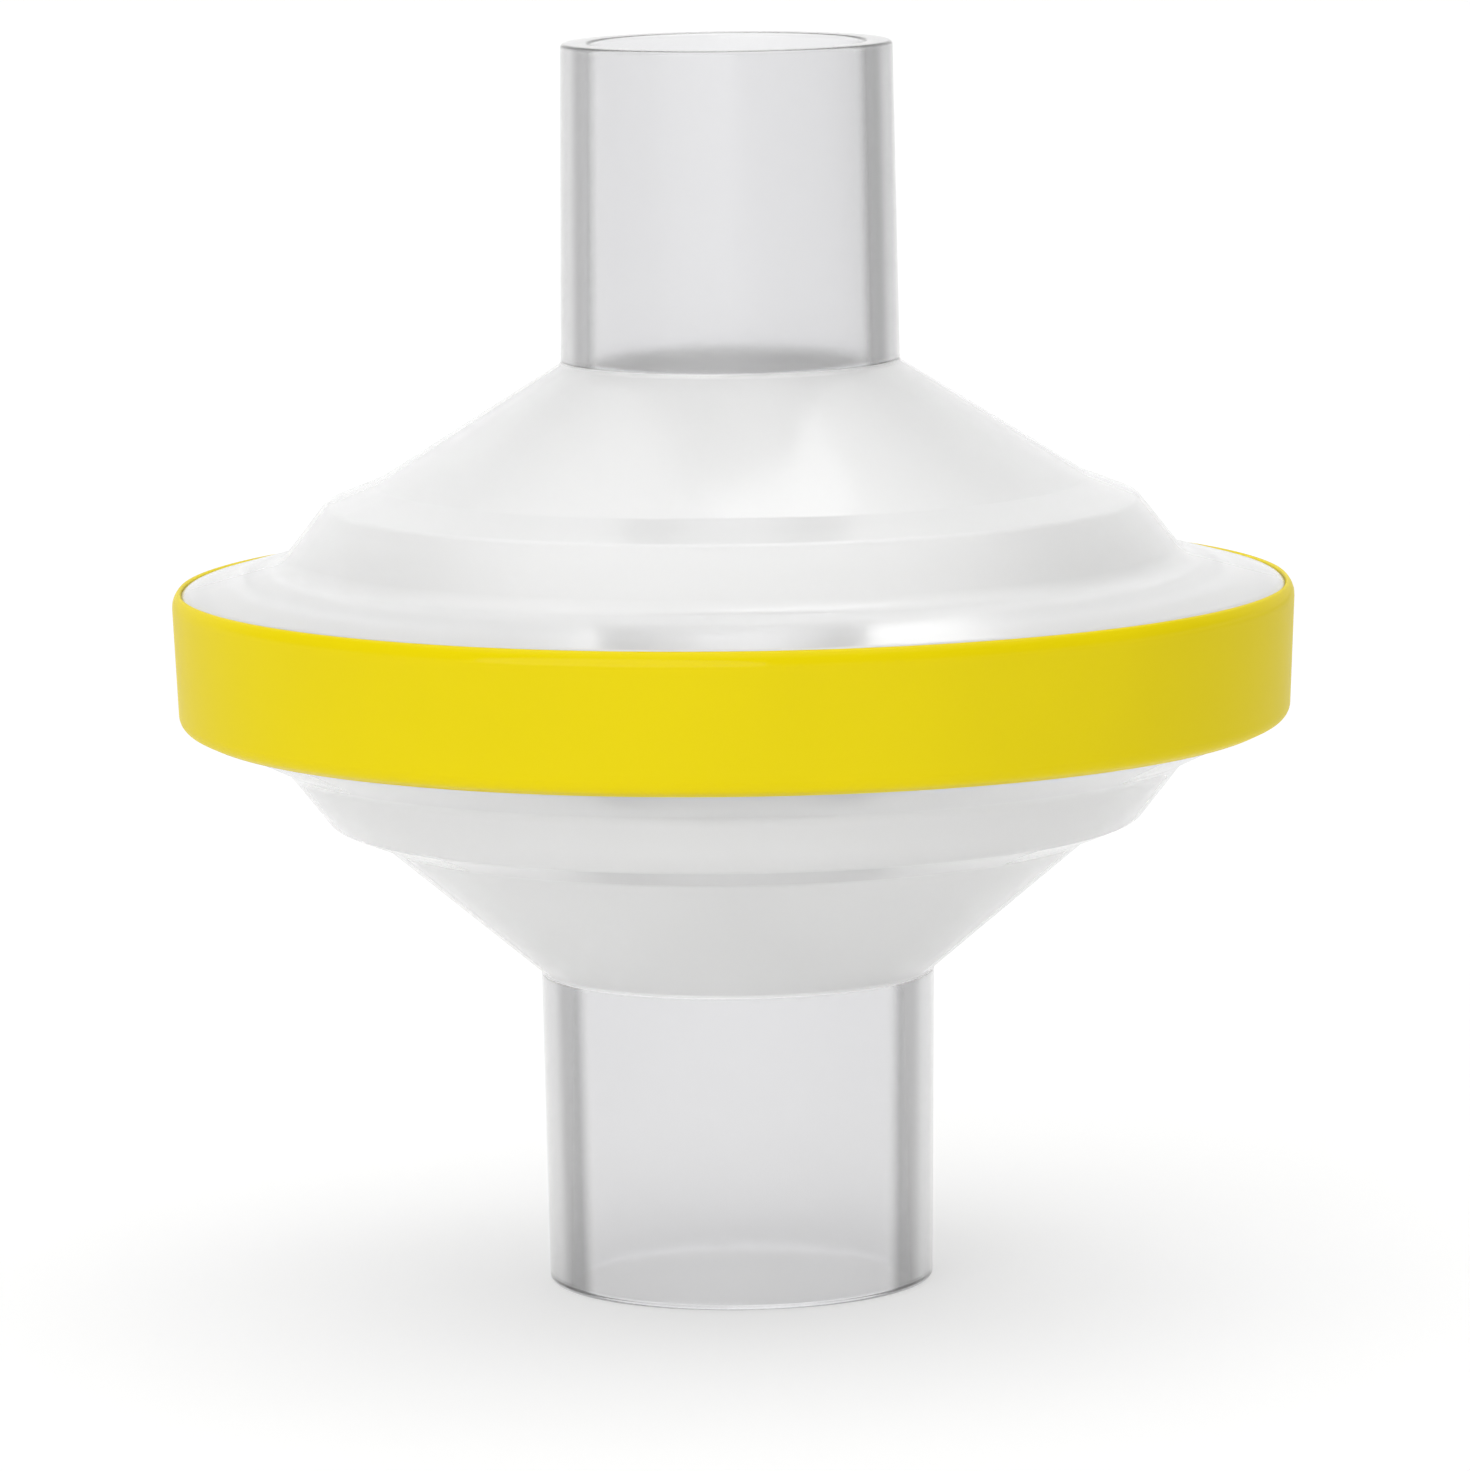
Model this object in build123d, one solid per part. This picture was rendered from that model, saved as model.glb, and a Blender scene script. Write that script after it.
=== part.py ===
from build123d import *
import os
from math import atan2, cos, degrees, hypot, radians, sin, tan

# A breathing circuit filter: two clear housings welded round a rim, a filter pad pinched
# between them, and a printed sleeve round the rim. All lengths are millimetres and all
# angles degrees. The origin is the centre of the lower port's mouth, on which the filter
# stands, and Z is its axis. Sections are drawn as radius and height above the seam.

# Conical connectors, which narrow by 1 mm in 40 towards the male tip
connector_taper = 1 / 40
male_tip_diameter = 21.85
male_port_length = 21.1
male_port_wall = 1.85
socket_mouth_diameter = 22.40
socket_port_length = 20.9
socket_port_diameter = 25.5
socket_port_draft = 0.8
mouth_round = 0.3

# Rim, where the two housings meet
rim_radius = 36.6
rim_width = 3.0
rim_draft = 2.5
patient_rim_height = 4.3
machine_rim_height = 4.1
patient_rim_round = 1.1
machine_rim_round = 0.7

# Both housings, from the rim in to the neck
shell_wall = 1.5
flat_width = 6.7
shoulder_wall_run = 3.0
shoulder_wall_slope = 52.0
shoulder_width = 3.3
shoulder_slope = 21.5
patient_shoulder_height = 10.0
machine_shoulder_height = 11.0
patient_neck_height = 19.1
machine_neck_height = 21.2
neck_round = 0.4
cone_foot_round = 1.5
shoulder_round = 0.9
crease_round = 2.6

# Weld: a tongue under the patient-side rim stands in a groove of the machine-side one
tongue_width = 0.9
tongue_length = 1.8
weld_clearance = 0.05

# Filter pad, and the rib on each housing that pinches its edge
pad_thickness = 5.0
pinched_thickness = 3.0
pad_edge_thickness = 4.2
pad_clearance = 0.3
pad_ramp = 1.6
pad_edge_ramp = 0.5
rib_width = 1.1
rib_to_rim = 1.65

# Printed sleeve, shrunk round both corners of the rim
sleeve_thickness = 0.3
sleeve_clearance = 0.02
sleeve_wrap_angle = 45.0
sleeve_underside_width = 0.7

# Radii worked out from the sizes above
rim_inner_radius = rim_radius - rim_width
tongue_radius = rim_radius - rim_width / 2
rib_outer_radius = rim_inner_radius - rib_to_rim
rib_inner_radius = rib_outer_radius - rib_width
crease_radius = rim_radius - flat_width
shoulder_radius = crease_radius - shoulder_wall_run

# Heights above the mouth that the filter stands on
seam_height = socket_port_length + machine_neck_height
total_height = seam_height + patient_neck_height + male_port_length


def moved_inward(start, end, distance):
    """The line from start to end, moved by distance to its right-hand side."""
    run = end[0] - start[0]
    rise = end[1] - start[1]
    scale = distance / hypot(run, rise)
    shift = (rise * scale, -run * scale)
    return (start[0] + shift[0], start[1] + shift[1]), (end[0] + shift[0], end[1] + shift[1])


def crossing(line_a, line_b):
    """The point where two endless lines, each given by two points, cross."""
    (ax, ay), (bx, by) = line_a
    (cx, cy), (dx, dy) = line_b
    turn = (bx - ax) * (dy - cy) - (by - ay) * (dx - cx)
    share = ((cx - ax) * (dy - cy) - (cy - ay) * (dx - cx)) / turn
    return ax + share * (bx - ax), ay + share * (by - ay)


def rim_corner(height):
    """The rim's outer corner at a height above the seam, or below it if negative."""
    return rim_radius + height * tan(radians(rim_draft)), abs(height)


def body_corners(port_radius, neck_height, shoulder_height, outer_corner):
    """Corners of a housing's outside, from its neck out to the seam."""
    shoulder_rise = shoulder_width * tan(radians(shoulder_slope))
    wall_drop = shoulder_wall_run * tan(radians(shoulder_wall_slope))
    neck = (port_radius, neck_height)
    cone_foot = (shoulder_radius - shoulder_width, shoulder_height + shoulder_rise)
    shoulder = (shoulder_radius, shoulder_height)
    crease = (crease_radius, shoulder_height - wall_drop)
    return [neck, cone_foot, shoulder, crease, outer_corner, (rim_radius, 0)]


def patient_corners():
    """The patient-side housing's corners, under a male cone."""
    root_radius = male_tip_diameter / 2 + male_port_length * connector_taper / 2
    corner = rim_corner(patient_rim_height)
    return body_corners(root_radius, patient_neck_height, patient_shoulder_height, corner)


def machine_corners():
    """The machine-side housing's corners, above a socket, drawn upside down."""
    root_radius = socket_port_diameter / 2 + socket_port_length * tan(radians(socket_port_draft))
    corner = rim_corner(-machine_rim_height)
    return body_corners(root_radius, machine_neck_height, machine_shoulder_height, corner)


def ring(inner_radius, outer_radius, bottom, top):
    """A plain ring round the axis."""
    with BuildPart() as solid:
        with BuildSketch(Plane.XY.offset(bottom)):
            Circle(outer_radius)
            Circle(inner_radius, mode=Mode.SUBTRACT)
        extrude(amount=top - bottom)
    return solid.part


def pinching_rib(flat_line):
    """The ring that stands from a housing's flat part down to the pad's edge."""
    inner_root = crossing(flat_line, ((rib_inner_radius, 0), (rib_inner_radius, 1)))[1]
    outer_root = crossing(flat_line, ((rib_outer_radius, 0), (rib_outer_radius, 1)))[1]
    with BuildPart() as rib:
        with BuildSketch(Plane.XZ):
            with BuildLine():
                Polyline(
                    (rib_inner_radius, pinched_thickness / 2),
                    (rib_outer_radius, pinched_thickness / 2),
                    (rib_outer_radius, outer_root + shell_wall / 2),
                    (rib_inner_radius, inner_root + shell_wall / 2),
                    close=True,
                )
            make_face()
        revolve(axis=Axis.Z)
    return rib.part


def housing(corners, port_tip, bore_tip, bore_root, rim_round):
    """One housing above the seam: port, cone, shoulder, flat, rim and pinching rib."""
    walls = [moved_inward(corners[i], corners[i + 1], shell_wall) for i in range(4)]
    rim_face = ((rim_inner_radius, 0), (rim_inner_radius, 1))
    inner_neck = crossing((bore_tip, bore_root), walls[0])
    inner_corners = [crossing(walls[i], walls[i + 1]) for i in range(3)]
    inner_rim = crossing(walls[3], rim_face)
    outer_rounds = [neck_round, cone_foot_round, shoulder_round, crease_round, rim_round]
    inner_rounds = [neck_round + shell_wall, cone_foot_round + shell_wall, 0, crease_round + shell_wall, 0]
    with BuildPart() as shell:
        with BuildSketch(Plane.XZ):
            with BuildLine():
                outside = FilletPolyline(port_tip, *corners, radius=outer_rounds)
                inside = FilletPolyline(
                    bore_tip, inner_neck, *inner_corners, inner_rim, rim_face[0], radius=inner_rounds
                )
                Line(outside @ 0, inside @ 0)
                Line(outside @ 1, inside @ 1)
            make_face()
            fillet(vertices().group_by(Axis.Y)[-1], mouth_round)
        revolve(axis=Axis.Z)
        add(pinching_rib(walls[3]))
    return shell.part


def patient_side_housing():
    """The upper housing, with its male cone and the tongue of the weld."""
    corners = patient_corners()
    root_radius = corners[0][0]
    tip_height = patient_neck_height + male_port_length
    port_tip = (male_tip_diameter / 2, tip_height)
    bore_tip = (male_tip_diameter / 2 - male_port_wall, tip_height)
    bore_root = (root_radius - male_port_wall, patient_neck_height)
    shell = housing(corners, port_tip, bore_tip, bore_root, patient_rim_round)
    tongue = ring(
        tongue_radius - tongue_width / 2,
        tongue_radius + tongue_width / 2,
        -tongue_length,
        patient_rim_height / 2,
    )
    return Pos(0, 0, seam_height) * (shell + tongue)


def machine_side_housing():
    """The lower housing, with its socket, turned over so that its port points down."""
    corners = machine_corners()
    mouth_height = machine_neck_height + socket_port_length
    port_tip = (socket_port_diameter / 2, mouth_height)
    bore_tip = (socket_mouth_diameter / 2, mouth_height)
    root_radius = socket_mouth_diameter / 2 - socket_port_length * connector_taper / 2
    bore_root = (root_radius, machine_neck_height)
    shell = housing(corners, port_tip, bore_tip, bore_root, machine_rim_round)
    groove = ring(
        tongue_radius - tongue_width / 2 - weld_clearance,
        tongue_radius + tongue_width / 2 + weld_clearance,
        0,
        tongue_length + weld_clearance,
    )
    return Pos(0, 0, seam_height) * mirror(shell - groove, about=Plane.XY)


def filter_medium():
    """The felt pad, which fills the body between the housings and is pinched at its edge."""
    pinch_inner = rib_inner_radius - pad_clearance
    pinch_outer = rib_outer_radius + pad_clearance
    edge_radius = rim_inner_radius - pad_clearance
    with BuildPart() as pad:
        with BuildSketch(Plane.XZ):
            with BuildLine():
                Polyline(
                    (0, 0),
                    (0, pad_thickness / 2),
                    (pinch_inner - pad_ramp, pad_thickness / 2),
                    (pinch_inner, pinched_thickness / 2),
                    (pinch_outer, pinched_thickness / 2),
                    (pinch_outer + pad_edge_ramp, pad_edge_thickness / 2),
                    (edge_radius, pad_edge_thickness / 2),
                    (edge_radius, 0),
                    close=True,
                )
            make_face()
            mirror(about=Plane.XZ)
        revolve(axis=Axis.Z)
    return Pos(0, 0, seam_height) * pad.part


def rounding_centre(corners, rim_round):
    """Centre of the rounding at a rim's outer corner."""
    flat = moved_inward(corners[3], corners[4], rim_round)
    side = moved_inward(corners[4], corners[5], rim_round)
    return crossing(flat, side)


def sleeve_line(distance):
    """The sleeve's section at a distance from the rim: its top arc, side, bottom arc and foot."""
    machine = machine_corners()
    top_centre = rounding_centre(patient_corners(), patient_rim_round)
    bottom_centre = rounding_centre(machine, machine_rim_round)
    run = machine[4][0] - machine[3][0]
    rise = machine[3][1] - machine[4][1]
    underside_slope = degrees(atan2(rise, run))
    wrap = sleeve_wrap_angle + rim_draft
    tuck = 90 - underside_slope - rim_draft
    foot = (
        -sleeve_underside_width * cos(radians(underside_slope)),
        -sleeve_underside_width * sin(radians(underside_slope)),
    )
    top = CenterArc(top_centre, patient_rim_round + distance, sleeve_wrap_angle, -wrap)
    bottom = CenterArc(
        (bottom_centre[0], -bottom_centre[1]), machine_rim_round + distance, -rim_draft, -tuck
    )
    Line(top @ 1, bottom @ 0)
    underside = Line(bottom @ 1, bottom @ 1 + Vector(*foot))
    return top @ 0, underside @ 1


def colour_band():
    """The printed sleeve, from the rim's top rounding to its underside."""
    with BuildPart() as sleeve:
        with BuildSketch(Plane.XZ):
            with BuildLine():
                inner_ends = sleeve_line(sleeve_clearance)
                outer_ends = sleeve_line(sleeve_clearance + sleeve_thickness)
                Line(inner_ends[0], outer_ends[0])
                Line(inner_ends[1], outer_ends[1])
            make_face()
        revolve(axis=Axis.Z)
    return Pos(0, 0, seam_height) * sleeve.part


nodes = {
    "patient_side_housing": patient_side_housing(),
    "machine_side_housing": machine_side_housing(),
    "filter_medium": filter_medium(),
    "colour_band": colour_band(),
}

os.makedirs("parts", exist_ok=True)
for name, shape in nodes.items():
    export_step(shape, f"parts/{name}.step")
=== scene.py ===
# %% [markdown]
# # A breathing circuit filter
# Two clear plastic housings are welded round a rim. A white felt pad is pinched between
# them, and a glossy yellow film is shrunk round the rim. The filter stands on its lower
# port, on a white table. Everything here is in metres.

# %% Load the frame
import bmesh
import bpy
from math import pi, radians
from mathutils import Matrix, Vector


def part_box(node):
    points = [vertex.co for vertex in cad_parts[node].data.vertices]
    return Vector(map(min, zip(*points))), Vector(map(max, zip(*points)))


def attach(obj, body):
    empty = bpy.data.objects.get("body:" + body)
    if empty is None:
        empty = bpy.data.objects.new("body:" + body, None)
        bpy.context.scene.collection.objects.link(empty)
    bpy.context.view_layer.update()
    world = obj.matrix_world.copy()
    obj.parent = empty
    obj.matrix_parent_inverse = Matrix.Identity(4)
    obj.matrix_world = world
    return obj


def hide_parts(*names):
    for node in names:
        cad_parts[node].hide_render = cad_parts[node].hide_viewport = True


MM = 0.001
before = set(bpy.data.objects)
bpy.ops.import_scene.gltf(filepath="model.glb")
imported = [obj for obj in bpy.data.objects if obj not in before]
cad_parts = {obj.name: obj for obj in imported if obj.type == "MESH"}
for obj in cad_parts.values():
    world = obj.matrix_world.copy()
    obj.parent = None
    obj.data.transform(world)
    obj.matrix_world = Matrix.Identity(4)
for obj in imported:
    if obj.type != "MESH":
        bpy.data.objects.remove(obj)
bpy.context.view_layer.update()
print("nodes", sorted(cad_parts))

# %% [markdown]
# ## From a solid to its section
# Every piece here is turned, so one section says all about its shape. A part that comes
# from a solid model is a heap of loose flat triangles, and clear plastic shows each of them.
# So the triangles are joined and cut through along the axis, and only the line of the cut
# on one side of the axis is kept.

# %% A node's section
SAME_POINT = 0.001 * MM
ON_THE_CUT = 0.0005 * MM


def section_of(node):
    """The line where the half plane y = 0, x > 0 cuts a node."""
    section = bmesh.new()
    section.from_mesh(bpy.data.objects[node].data)
    bmesh.ops.remove_doubles(section, verts=section.verts, dist=SAME_POINT)
    everything = [*section.verts, *section.edges, *section.faces]
    bmesh.ops.bisect_plane(
        section, geom=everything, dist=ON_THE_CUT, plane_co=(0, 0, 0), plane_no=(0, 1, 0),
        clear_inner=True, clear_outer=True,
    )
    behind = [v for v in section.verts if v.co.x < -SAME_POINT]
    bmesh.ops.delete(section, geom=behind, context="VERTS")
    return section


# %% [markdown]
# ## From the section to a smooth mesh
# The section is spun round the axis again, in many fine steps. The shape and the size stay
# the same, and the surface can be shaded smooth. The Weighted Normal modifier lets the wide
# faces decide the shading, so that a flat part stays flat beside a small round.

# %% Turned pieces
SPIN_STEPS = 180
SPIN_SEAM = 0.0005 * MM
WIDE_FACES_LEAD = 100


def turned_piece(name, node):
    """A smooth copy of a turned node: its section spun once round the axis."""
    work = section_of(node)
    corners = len(work.verts)
    outline = [*work.verts, *work.edges]
    bmesh.ops.spin(
        work, geom=outline, cent=(0, 0, 0), axis=(0, 0, 1), dvec=(0, 0, 0),
        angle=2 * pi, steps=SPIN_STEPS, use_merge=True,
    )
    bmesh.ops.remove_doubles(work, verts=work.verts, dist=SPIN_SEAM)
    bmesh.ops.recalc_face_normals(work, faces=work.faces)
    for face in work.faces:
        face.smooth = True
    mesh = bpy.data.meshes.new(name)
    work.to_mesh(mesh)
    work.free()
    piece = bpy.data.objects.new(name, mesh)
    bpy.context.scene.collection.objects.link(piece)
    shading = piece.modifiers.new("even_normals", "WEIGHTED_NORMAL")
    shading.weight = WIDE_FACES_LEAD
    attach(piece, "root")
    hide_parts(node)
    print(name, "section points", corners, "faces", len(mesh.polygons))
    return piece


patient_shell = turned_piece("patient_side_shell", "patient_side_housing")
machine_shell = turned_piece("machine_side_shell", "machine_side_housing")
felt_pad = turned_piece("felt_pad", "filter_medium")
film_sleeve = turned_piece("film_sleeve", "colour_band")

# %% [markdown]
# ## Node helpers
# A material is a small graph. Three helpers keep its code short: one adds a node and sets its
# sockets by name, one adds a ramp of colours, and one starts a material with its Principled
# shader.

# %% Material helpers
def add_node(tree, kind, **values):
    """Adds a node and sets its input sockets by name, with _ for a space."""
    node = tree.nodes.new(kind)
    for key, value in values.items():
        node.inputs[key.replace("_", " ")].default_value = value
    return node


def add_ramp(tree, stops, interpolation="LINEAR"):
    """Adds a colour ramp with a colour at each of its places, which go up from 0 to 1."""
    node = tree.nodes.new("ShaderNodeValToRGB")
    ramp = node.color_ramp
    ramp.interpolation = interpolation
    while len(ramp.elements) < len(stops):
        ramp.elements.new(1.0)
    for stop, (place, colour) in zip(ramp.elements, stops):
        stop.position = place
        stop.color = (*colour, 1)
    return node


def new_material(name):
    """A material with a Principled shader, and its node tree."""
    material = bpy.data.materials.new(name)
    material.use_nodes = True
    tree = material.node_tree
    return material, tree, tree.nodes["Principled BSDF"]


# %% [markdown]
# ## A shared ripple
# No moulded or shrunk surface is perfectly flat: it wanders a little, and highlights waver on
# it. The same soft ripple is used by the clear plastic and by the film, so it is a node
# group with a scale and a height.

# %% Ripple group
RIPPLE_DEPTH = 0.2 * MM


def ripple_group():
    """A node group that gives a softly wavering normal."""
    group = bpy.data.node_groups.new("soft_ripple", "ShaderNodeTree")
    for socket in ("Scale", "Height"):
        group.interface.new_socket(socket, in_out="INPUT", socket_type="NodeSocketFloat")
    group.interface.new_socket("Normal", in_out="OUTPUT", socket_type="NodeSocketVector")
    inside = group.nodes.new("NodeGroupInput")
    outside = group.nodes.new("NodeGroupOutput")
    place = group.nodes.new("ShaderNodeTexCoord")
    noise = add_node(group, "ShaderNodeTexNoise", Detail=1.5, Roughness=0.4)
    bump = add_node(group, "ShaderNodeBump", Distance=RIPPLE_DEPTH)
    group.links.new(place.outputs["Object"], noise.inputs["Vector"])
    group.links.new(inside.outputs["Scale"], noise.inputs["Scale"])
    group.links.new(inside.outputs["Height"], bump.inputs["Strength"])
    group.links.new(noise.outputs["Fac"], bump.inputs["Height"])
    group.links.new(bump.outputs["Normal"], outside.inputs["Normal"])
    return group


soft_ripple = ripple_group()
print("group", soft_ripple.name, "nodes", len(soft_ripple.nodes))


def add_ripple(tree, shader, scale, height):
    """Puts the shared ripple on a shader's normal."""
    ripple = tree.nodes.new("ShaderNodeGroup")
    ripple.node_tree = soft_ripple
    ripple.inputs["Scale"].default_value = scale
    ripple.inputs["Height"].default_value = height
    tree.links.new(ripple.outputs["Normal"], shader.inputs["Normal"])


# %% [markdown]
# ## Clear ports, milky body
# Both housings are one clear plastic, and what changes is the mould's finish. The ports are
# polished outside and slightly satin inside, so they stay see-through. The body is matt
# inside: its inner face scatters light, looks milky and hides the felt. The eye sees that
# face through a glossy skin a millimetre and a half thick, which gives the filter its depth.
# A moulding stays one mesh here, and each of its faces takes the finish of its side.
# Beside its silhouette a clear tube bends the view far round, to darker things beside it, and
# shows a dark streak there. A tint stands in for that here: Layer Weight tells how far a face
# is turned away from the eye, and a ramp turns that into a darker colour. It is made for
# views from about the filter's own height, and seen from high above a port looks grey.

# %% Plastic materials
PLASTIC_IOR = 1.57
CLEAR_TINT = (0.98, 0.98, 0.985)
SATIN_TINT = (0.75, 0.75, 0.76)
MILKY_TINT = (0.985, 0.985, 0.985)
MILKY_TRANSMISSION = 0.5
# Painted shade for the ports' dark streaks: how much of the tint is left as a face turns
# away, from 0 facing the eye to 1 edge on
SKIN_PAINTED_STREAK = [(0.0, 1.0), (0.36, 1.0), (0.46, 0.28), (0.55, 0.22), (0.70, 0.55), (0.95, 0.85)]
BORE_PAINTED_STREAK = [(0.0, 1.0), (0.5, 1.0), (1.0, 0.6)]


def plastic(name, tint, roughness, transmission):
    """Clear plastic. What isn't transmitted is scattered at the surface."""
    material, tree, shader = new_material(name)
    shader.inputs["Base Color"].default_value = (*tint, 1)
    shader.inputs["Roughness"].default_value = roughness
    shader.inputs["Transmission Weight"].default_value = transmission
    shader.inputs["IOR"].default_value = PLASTIC_IOR
    add_ripple(tree, shader, scale=45.0, height=0.05)
    return material


def port_plastic(name, tint, roughness, edge):
    """Clear plastic with painted shade: a darker tint where a face is turned away from the eye."""
    material = plastic(name, tint, roughness, transmission=1.0)
    tree = material.node_tree
    facing = add_node(tree, "ShaderNodeLayerWeight", Blend=0.5)
    stops = [(place, [share * part for part in tint]) for place, share in edge]
    darker = add_ramp(tree, stops, "EASE")
    tree.links.new(facing.outputs["Facing"], darker.inputs["Fac"])
    tree.links.new(darker.outputs["Color"], tree.nodes["Principled BSDF"].inputs["Base Color"])
    return material


# Both port finishes carry painted shade: their ramps darken the tint into dark streaks.
clear_skin = port_plastic("clear_skin", CLEAR_TINT, roughness=0.06, edge=SKIN_PAINTED_STREAK)
satin_bore = port_plastic("satin_bore", SATIN_TINT, roughness=0.18, edge=BORE_PAINTED_STREAK)
milky_skin = plastic("milky_skin", MILKY_TINT, roughness=0.16, transmission=MILKY_TRANSMISSION)
milky_inside = plastic("milky_inside", MILKY_TINT, roughness=0.45, transmission=MILKY_TRANSMISSION)
clear_plastic = [clear_skin, satin_bore, milky_skin, milky_inside]
print("finishes of the clear plastic", [m.name for m in clear_plastic])

# %% [markdown]
# ## Felt
# The filter medium is a mat of very fine fibres. It has no gloss at all, and its surface is
# uneven at two scales: loose fibres, and soft clumps some millimetres wide.

# %% Felt material
FELT_TONES = [(0.3, (0.94, 0.94, 0.935)), (0.7, (0.98, 0.98, 0.975))]
FIBRE_DEPTH = 0.1 * MM


def white_felt():
    """White fibre felt."""
    material, tree, shader = new_material("white_felt")
    place = tree.nodes.new("ShaderNodeTexCoord")
    fibre = add_node(tree, "ShaderNodeTexNoise", Scale=2600.0, Detail=3.0, Distortion=2.0)
    clump = add_node(tree, "ShaderNodeTexNoise", Scale=260.0, Detail=2.0)
    tone = add_ramp(tree, FELT_TONES)
    bump = add_node(tree, "ShaderNodeBump", Strength=0.5, Distance=FIBRE_DEPTH)
    tree.links.new(place.outputs["Object"], fibre.inputs["Vector"])
    tree.links.new(place.outputs["Object"], clump.inputs["Vector"])
    tree.links.new(clump.outputs["Fac"], tone.inputs["Fac"])
    tree.links.new(tone.outputs["Color"], shader.inputs["Base Color"])
    tree.links.new(fibre.outputs["Fac"], bump.inputs["Height"])
    tree.links.new(bump.outputs["Normal"], shader.inputs["Normal"])
    shader.inputs["Roughness"].default_value = 1.0
    shader.inputs["Specular IOR Level"].default_value = 0.1
    return material


felt = white_felt()
print("material", felt.name)

# %% [markdown]
# ## Yellow film
# The band is a printed film, shrunk over the rim. Its ink is a strong, slightly greenish
# yellow under a clear glossy face, so the shader has a coloured base under a smooth coat.

# %% Film material
INK_TONES = [(0.0, (0.71, 0.57, 0.0)), (1.0, (0.76, 0.61, 0.0))]


def yellow_film():
    """Glossy yellow printed film."""
    material, tree, shader = new_material("yellow_film")
    place = tree.nodes.new("ShaderNodeTexCoord")
    ink = add_node(tree, "ShaderNodeTexNoise", Scale=90.0, Detail=2.0)
    tone = add_ramp(tree, INK_TONES)
    tree.links.new(place.outputs["Object"], ink.inputs["Vector"])
    tree.links.new(ink.outputs["Fac"], tone.inputs["Fac"])
    tree.links.new(tone.outputs["Color"], shader.inputs["Base Color"])
    shader.inputs["Roughness"].default_value = 0.5
    shader.inputs["Specular IOR Level"].default_value = 0.0
    shader.inputs["Coat Weight"].default_value = 0.25
    shader.inputs["Coat Roughness"].default_value = 0.06
    add_ripple(tree, shader, scale=120.0, height=0.08)
    return material


film = yellow_film()
print("material", film.name)

# %% [markdown]
# ## Give each piece its materials
# A piece gets its materials as slots. The table lists each piece under one plain name for
# them, and that name is printed with it. The two housings share the four finishes of the
# clear plastic.

# %% Material slots
finishes = {
    "clear_plastic": (clear_plastic, [patient_shell, machine_shell]),
    "filter_felt": ([felt], [felt_pad]),
    "yellow_film": ([film], [film_sleeve]),
}
for slot_name, (materials, pieces) in finishes.items():
    for piece in pieces:
        for material in materials:
            piece.data.materials.append(material)
        print(piece.name, "slot", slot_name, "materials", len(piece.data.materials))

# %% [markdown]
# ## Four finishes on one moulding
# Each face of a housing holds the number of its finish. The number follows from where the
# face is and which way it looks: above and below the body it belongs to a port, and a face
# of the body that looks towards the felt is an inside one.

# %% The finish of each face
NECK_UNDER_BAND = 16.5 * MM
NECK_OVER_BAND = 14.9 * MM
RIM_OUTSIDE_FELT = 1.0 * MM
BODY_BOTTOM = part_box("colour_band")[0].z - NECK_UNDER_BAND
BODY_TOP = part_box("colour_band")[1].z + NECK_OVER_BAND
OUTSIDE_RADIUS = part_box("filter_medium")[1].x + RIM_OUTSIDE_FELT
TOWARDS_AXIS = -0.5
AWAY_FROM_FELT = 0.2
PORT_OUTSIDE, PORT_BORE, BODY_OUTSIDE, BODY_INSIDE = range(4)


def own_finish(face, up):
    """The number of a face's finish. up is 1 on the upper housing and -1 on the lower."""
    middle = face.center
    outward = (face.normal.x * middle.x + face.normal.y * middle.y) / middle.xy.length
    if not BODY_BOTTOM < middle.z < BODY_TOP:
        return PORT_BORE if outward < TOWARDS_AXIS else PORT_OUTSIDE
    if face.normal.z * up > AWAY_FROM_FELT or middle.xy.length > OUTSIDE_RADIUS:
        return BODY_OUTSIDE
    return BODY_INSIDE


for shell, up in ((patient_shell, 1), (machine_shell, -1)):
    for face in shell.data.polygons:
        face.material_index = own_finish(face, up)
    counts = [sum(f.material_index == i for f in shell.data.polygons) for i in range(4)]
    print(shell.name, "faces: port outside, bore, body outside, body inside", counts)

# %% [markdown]
# ## Table
# Clear things are often photographed on a light table: a white sheet with light coming up
# through it. It lights the filter from below and keeps the shadow pale. About half of the
# sheet's brightness is its own glow, and the rest is what it sends back of the light from
# above. Far off to the right its colour is painted darker, as painted shade for a side with
# less light, and that leaves that side of the filter a little darker.

# %% Table
TABLE_HALF = 3.0
TABLE_TONE = 0.45
# The next two give painted shade: the colour the table falls to far off to the right, and where in
# x it falls
TABLE_PAINTED_SHADE = 0.22
PAINTED_SHADE_REACH = (0.14, 0.6)
TABLE_GLOW = 0.50


def fade(tree, source, start, end, low, high):
    """A smooth change of a value from low at start to high at end."""
    made = add_node(tree, "ShaderNodeMapRange", To_Min=low, To_Max=high)
    made.inputs["From Min"].default_value = start
    made.inputs["From Max"].default_value = end
    made.interpolation_type = "SMOOTHSTEP"
    tree.links.new(source, made.inputs["Value"])
    return made.outputs["Result"]


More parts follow.
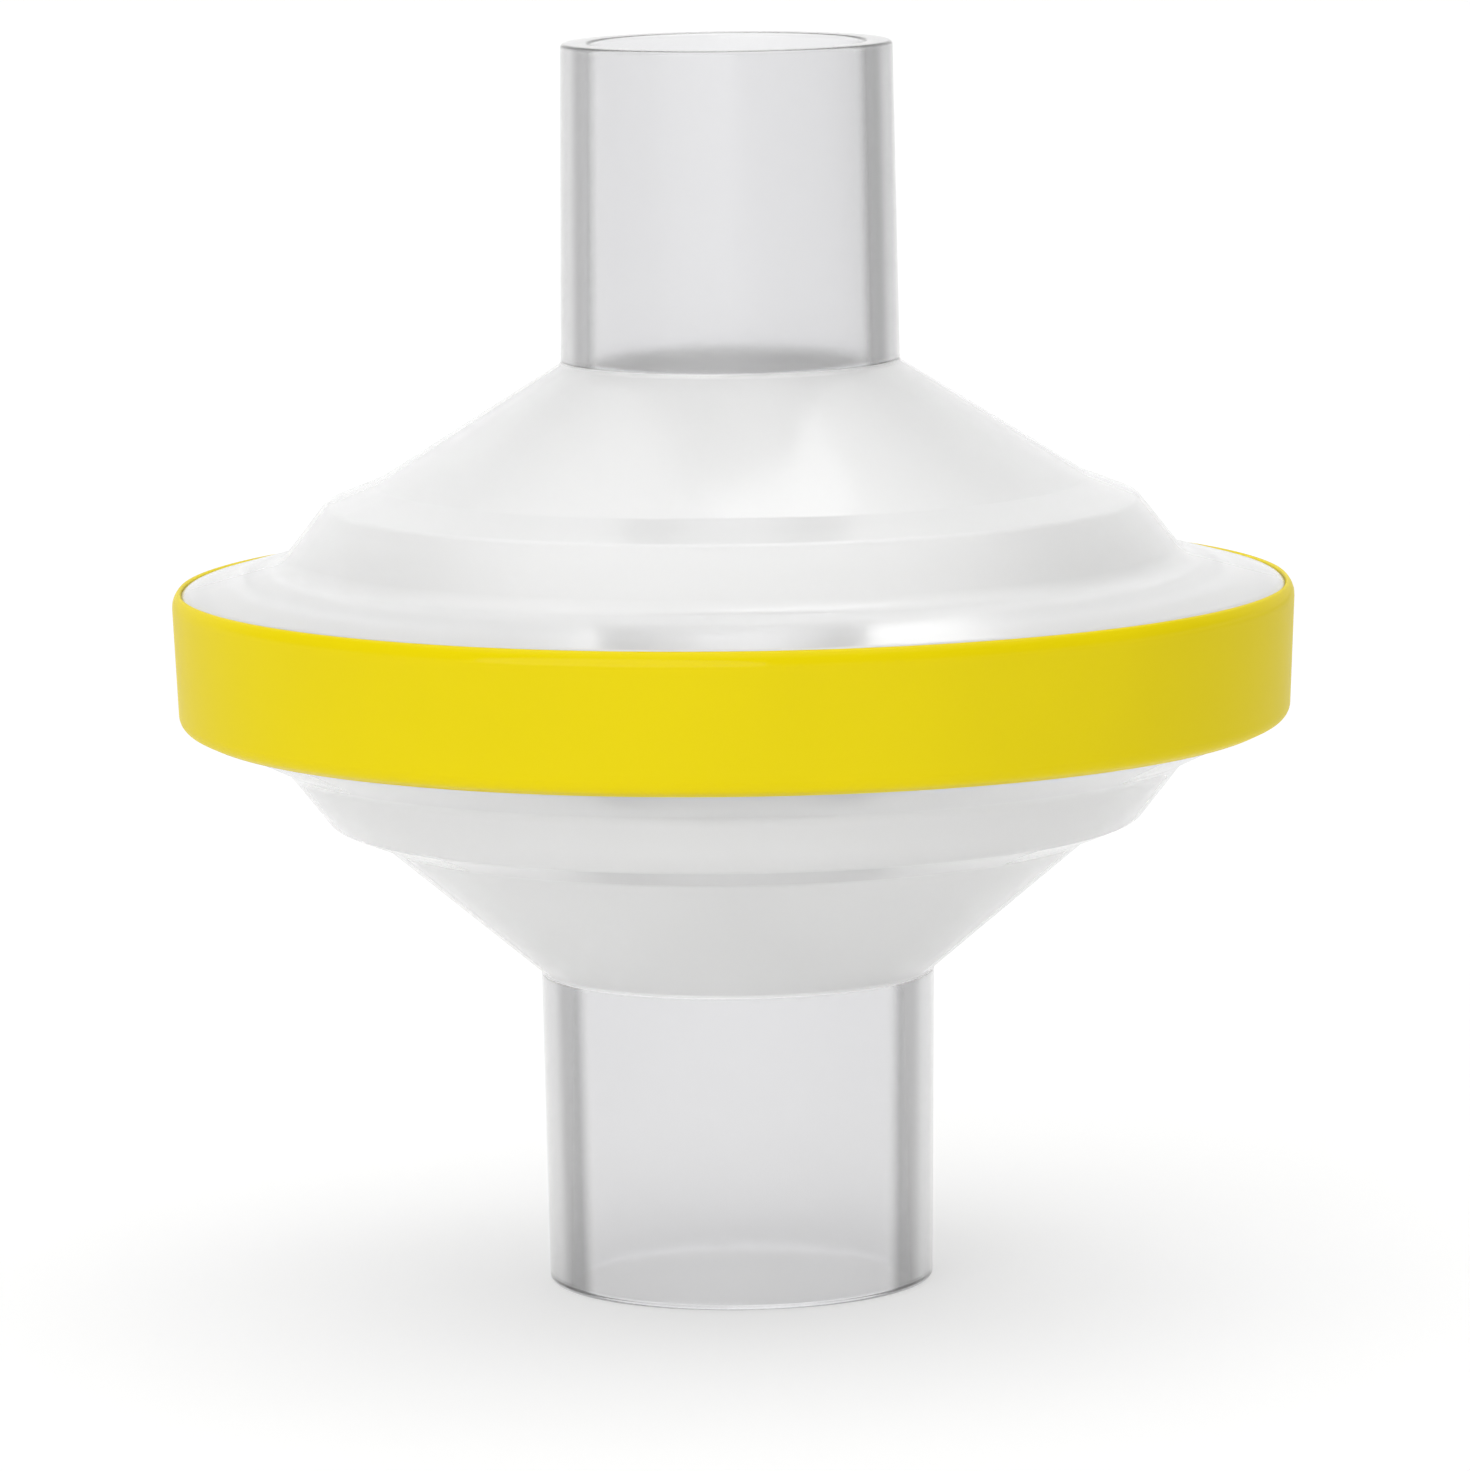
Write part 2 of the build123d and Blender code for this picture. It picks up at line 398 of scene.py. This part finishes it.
def white_table():
    """A white floor under the filter's mouth, with a weak glow and painted shade to the right."""
    work = bmesh.new()
    bmesh.ops.create_grid(work, x_segments=1, y_segments=1, size=TABLE_HALF)
    mesh = bpy.data.meshes.new("table")
    work.to_mesh(mesh)
    work.free()
    sheet = bpy.data.objects.new("table", mesh)
    bpy.context.scene.collection.objects.link(sheet)
    material, tree, shader = new_material("white_sheet")
    place = tree.nodes.new("ShaderNodeTexCoord")
    split = tree.nodes.new("ShaderNodeSeparateXYZ")
    tree.links.new(place.outputs["Object"], split.inputs["Vector"])
    # Painted shade: the table's colour grows darker far off to the right.
    tone = fade(tree, split.outputs["X"], *PAINTED_SHADE_REACH, TABLE_TONE, TABLE_PAINTED_SHADE)
    tree.links.new(tone, shader.inputs["Base Color"])
    shader.inputs["Roughness"].default_value = 0.9
    shader.inputs["Specular IOR Level"].default_value = 0.0
    shader.inputs["Emission Color"].default_value = (1, 1, 1, 1)
    shader.inputs["Emission Strength"].default_value = TABLE_GLOW
    sheet.data.materials.append(material)
    return sheet


table = white_table()
print(table.name, 2 * TABLE_HALF, "m wide")

# %% [markdown]
# ## Camera
# The camera stands 62 centimetres away, a little above the filter, and looks down by less
# than eight degrees, through a long lens. It is turned a fraction of a degree about its own
# line of sight, because the photograph leans that much.

# %% Camera
SENSOR = 36.0
PHOTO_LONG_SIDE = 1471
FOCAL_PIXELS = 9456
CAMERA_DISTANCE = 0.6211
CAMERA_HEIGHT = 0.1206
LOOK_DOWN = 0.1349
LEAN = -0.0126


def photo_camera():
    """The camera at the photograph's place and angle."""
    lens = bpy.data.cameras.new("photo_camera")
    lens.sensor_width = SENSOR
    lens.lens = SENSOR * FOCAL_PIXELS / PHOTO_LONG_SIDE
    camera = bpy.data.objects.new("photo_camera", lens)
    bpy.context.scene.collection.objects.link(camera)
    turn = Matrix.Rotation(pi / 2 - LOOK_DOWN, 4, "X") @ Matrix.Rotation(LEAN, 4, "Z")
    camera.matrix_world = Matrix.Translation((0, -CAMERA_DISTANCE, CAMERA_HEIGHT)) @ turn
    bpy.context.scene.camera = camera
    return camera


print("lens in mm", round(photo_camera().data.lens, 1))

# %% [markdown]
# ## Sky
# Plastic that mirrors white all round can't be seen at all, so the sky here is white behind,
# overhead and along the horizon, and grey in front and at the sides. It depends on the
# direction alone: Y points away from the camera, and Z points up.

# %% Sky
SKY_FRONT = 0.36
SKY_BACK = 1.05
SKY_TOP = 1.5
SKY_LOW = 1.0
SKY_BACK_FADE = (0.3, 0.9)
SKY_TOP_FADE = (0.6, 0.95)
SKY_LOW_FADE = (0.05, 0.22)


def combine(tree, operation, first, second):
    """A maths node on two sockets."""
    made = tree.nodes.new("ShaderNodeMath")
    made.operation = operation
    tree.links.new(first, made.inputs[0])
    tree.links.new(second, made.inputs[1])
    return made.outputs["Value"]


def studio_sky():
    """A sky that is white behind, bright overhead, and grey in front and at the sides."""
    world = bpy.data.worlds.new("studio")
    bpy.context.scene.world = world
    world.use_nodes = True
    tree = world.node_tree
    place = tree.nodes.new("ShaderNodeTexCoord")
    split = tree.nodes.new("ShaderNodeSeparateXYZ")
    tree.links.new(place.outputs["Generated"], split.inputs["Vector"])
    behind = fade(tree, split.outputs["Y"], *SKY_BACK_FADE, SKY_FRONT, SKY_BACK)
    above = fade(tree, split.outputs["Z"], *SKY_TOP_FADE, 0.0, SKY_TOP)
    low = fade(tree, split.outputs["Z"], *SKY_LOW_FADE, SKY_LOW, 0.0)
    total = combine(tree, "ADD", combine(tree, "MAXIMUM", behind, low), above)
    tree.links.new(total, tree.nodes["Background"].inputs["Color"])
    return world


print("sky", studio_sky().name)

# %% [markdown]
# ## Lamps
# A lamp overhead puts the soft patch on the cone, one behind puts the gleam on the flat part,
# and a wide one in front, a little to the left, brings out the yellow. Each is a sun lamp, as
# its width on the sky is all that matters for how soft its patch and its shadow are.

# %% Lamps
# The direction towards each lamp, its width on the sky in degrees, and its strength
LAMPS = {
    "top_lamp": (Vector((0.129, 0.303, 0.945)), 20.0, 0.11),
    "back_lamp": (Vector((0.03, 0.79, 0.61)), 12.0, 0.07),
    "front_lamp": (Vector((-0.38, -0.87, 0.15)), 60.0, 1.5),
}


def soft_lamp(name, direction, angle, strength):
    """A soft lamp, so far off that only its direction and its width count."""
    light = bpy.data.lights.new(name, "SUN")
    light.angle = radians(angle)
    light.energy = strength
    lamp = bpy.data.objects.new(name, light)
    bpy.context.scene.collection.objects.link(lamp)
    lamp.location = direction.normalized()
    lamp.rotation_euler = direction.to_track_quat("Z", "Y").to_euler()
    return lamp


for name, (direction, angle, strength) in LAMPS.items():
    lamp = soft_lamp(name, direction, angle, strength)
    print(lamp.name, angle, "degrees wide")

# %% [markdown]
# ## Light paths
# A ray through the filter crosses several walls, and between the milky walls and the felt it
# is scattered again and again. A path that is cut short gives no light, and the body would
# turn grey, so the renderer is allowed many turns. The Standard view keeps the table's white
# as it is lit.

# %% Light paths
CROSSINGS = 24
MIRRORINGS = 8
SCATTERINGS = 16
scene = bpy.context.scene
scene.view_settings.view_transform = "Standard"
scene.cycles.max_bounces = CROSSINGS
scene.cycles.transmission_bounces = CROSSINGS
scene.cycles.glossy_bounces = MIRRORINGS
scene.cycles.diffuse_bounces = SCATTERINGS
print("turns of a light path, at most", scene.cycles.max_bounces)
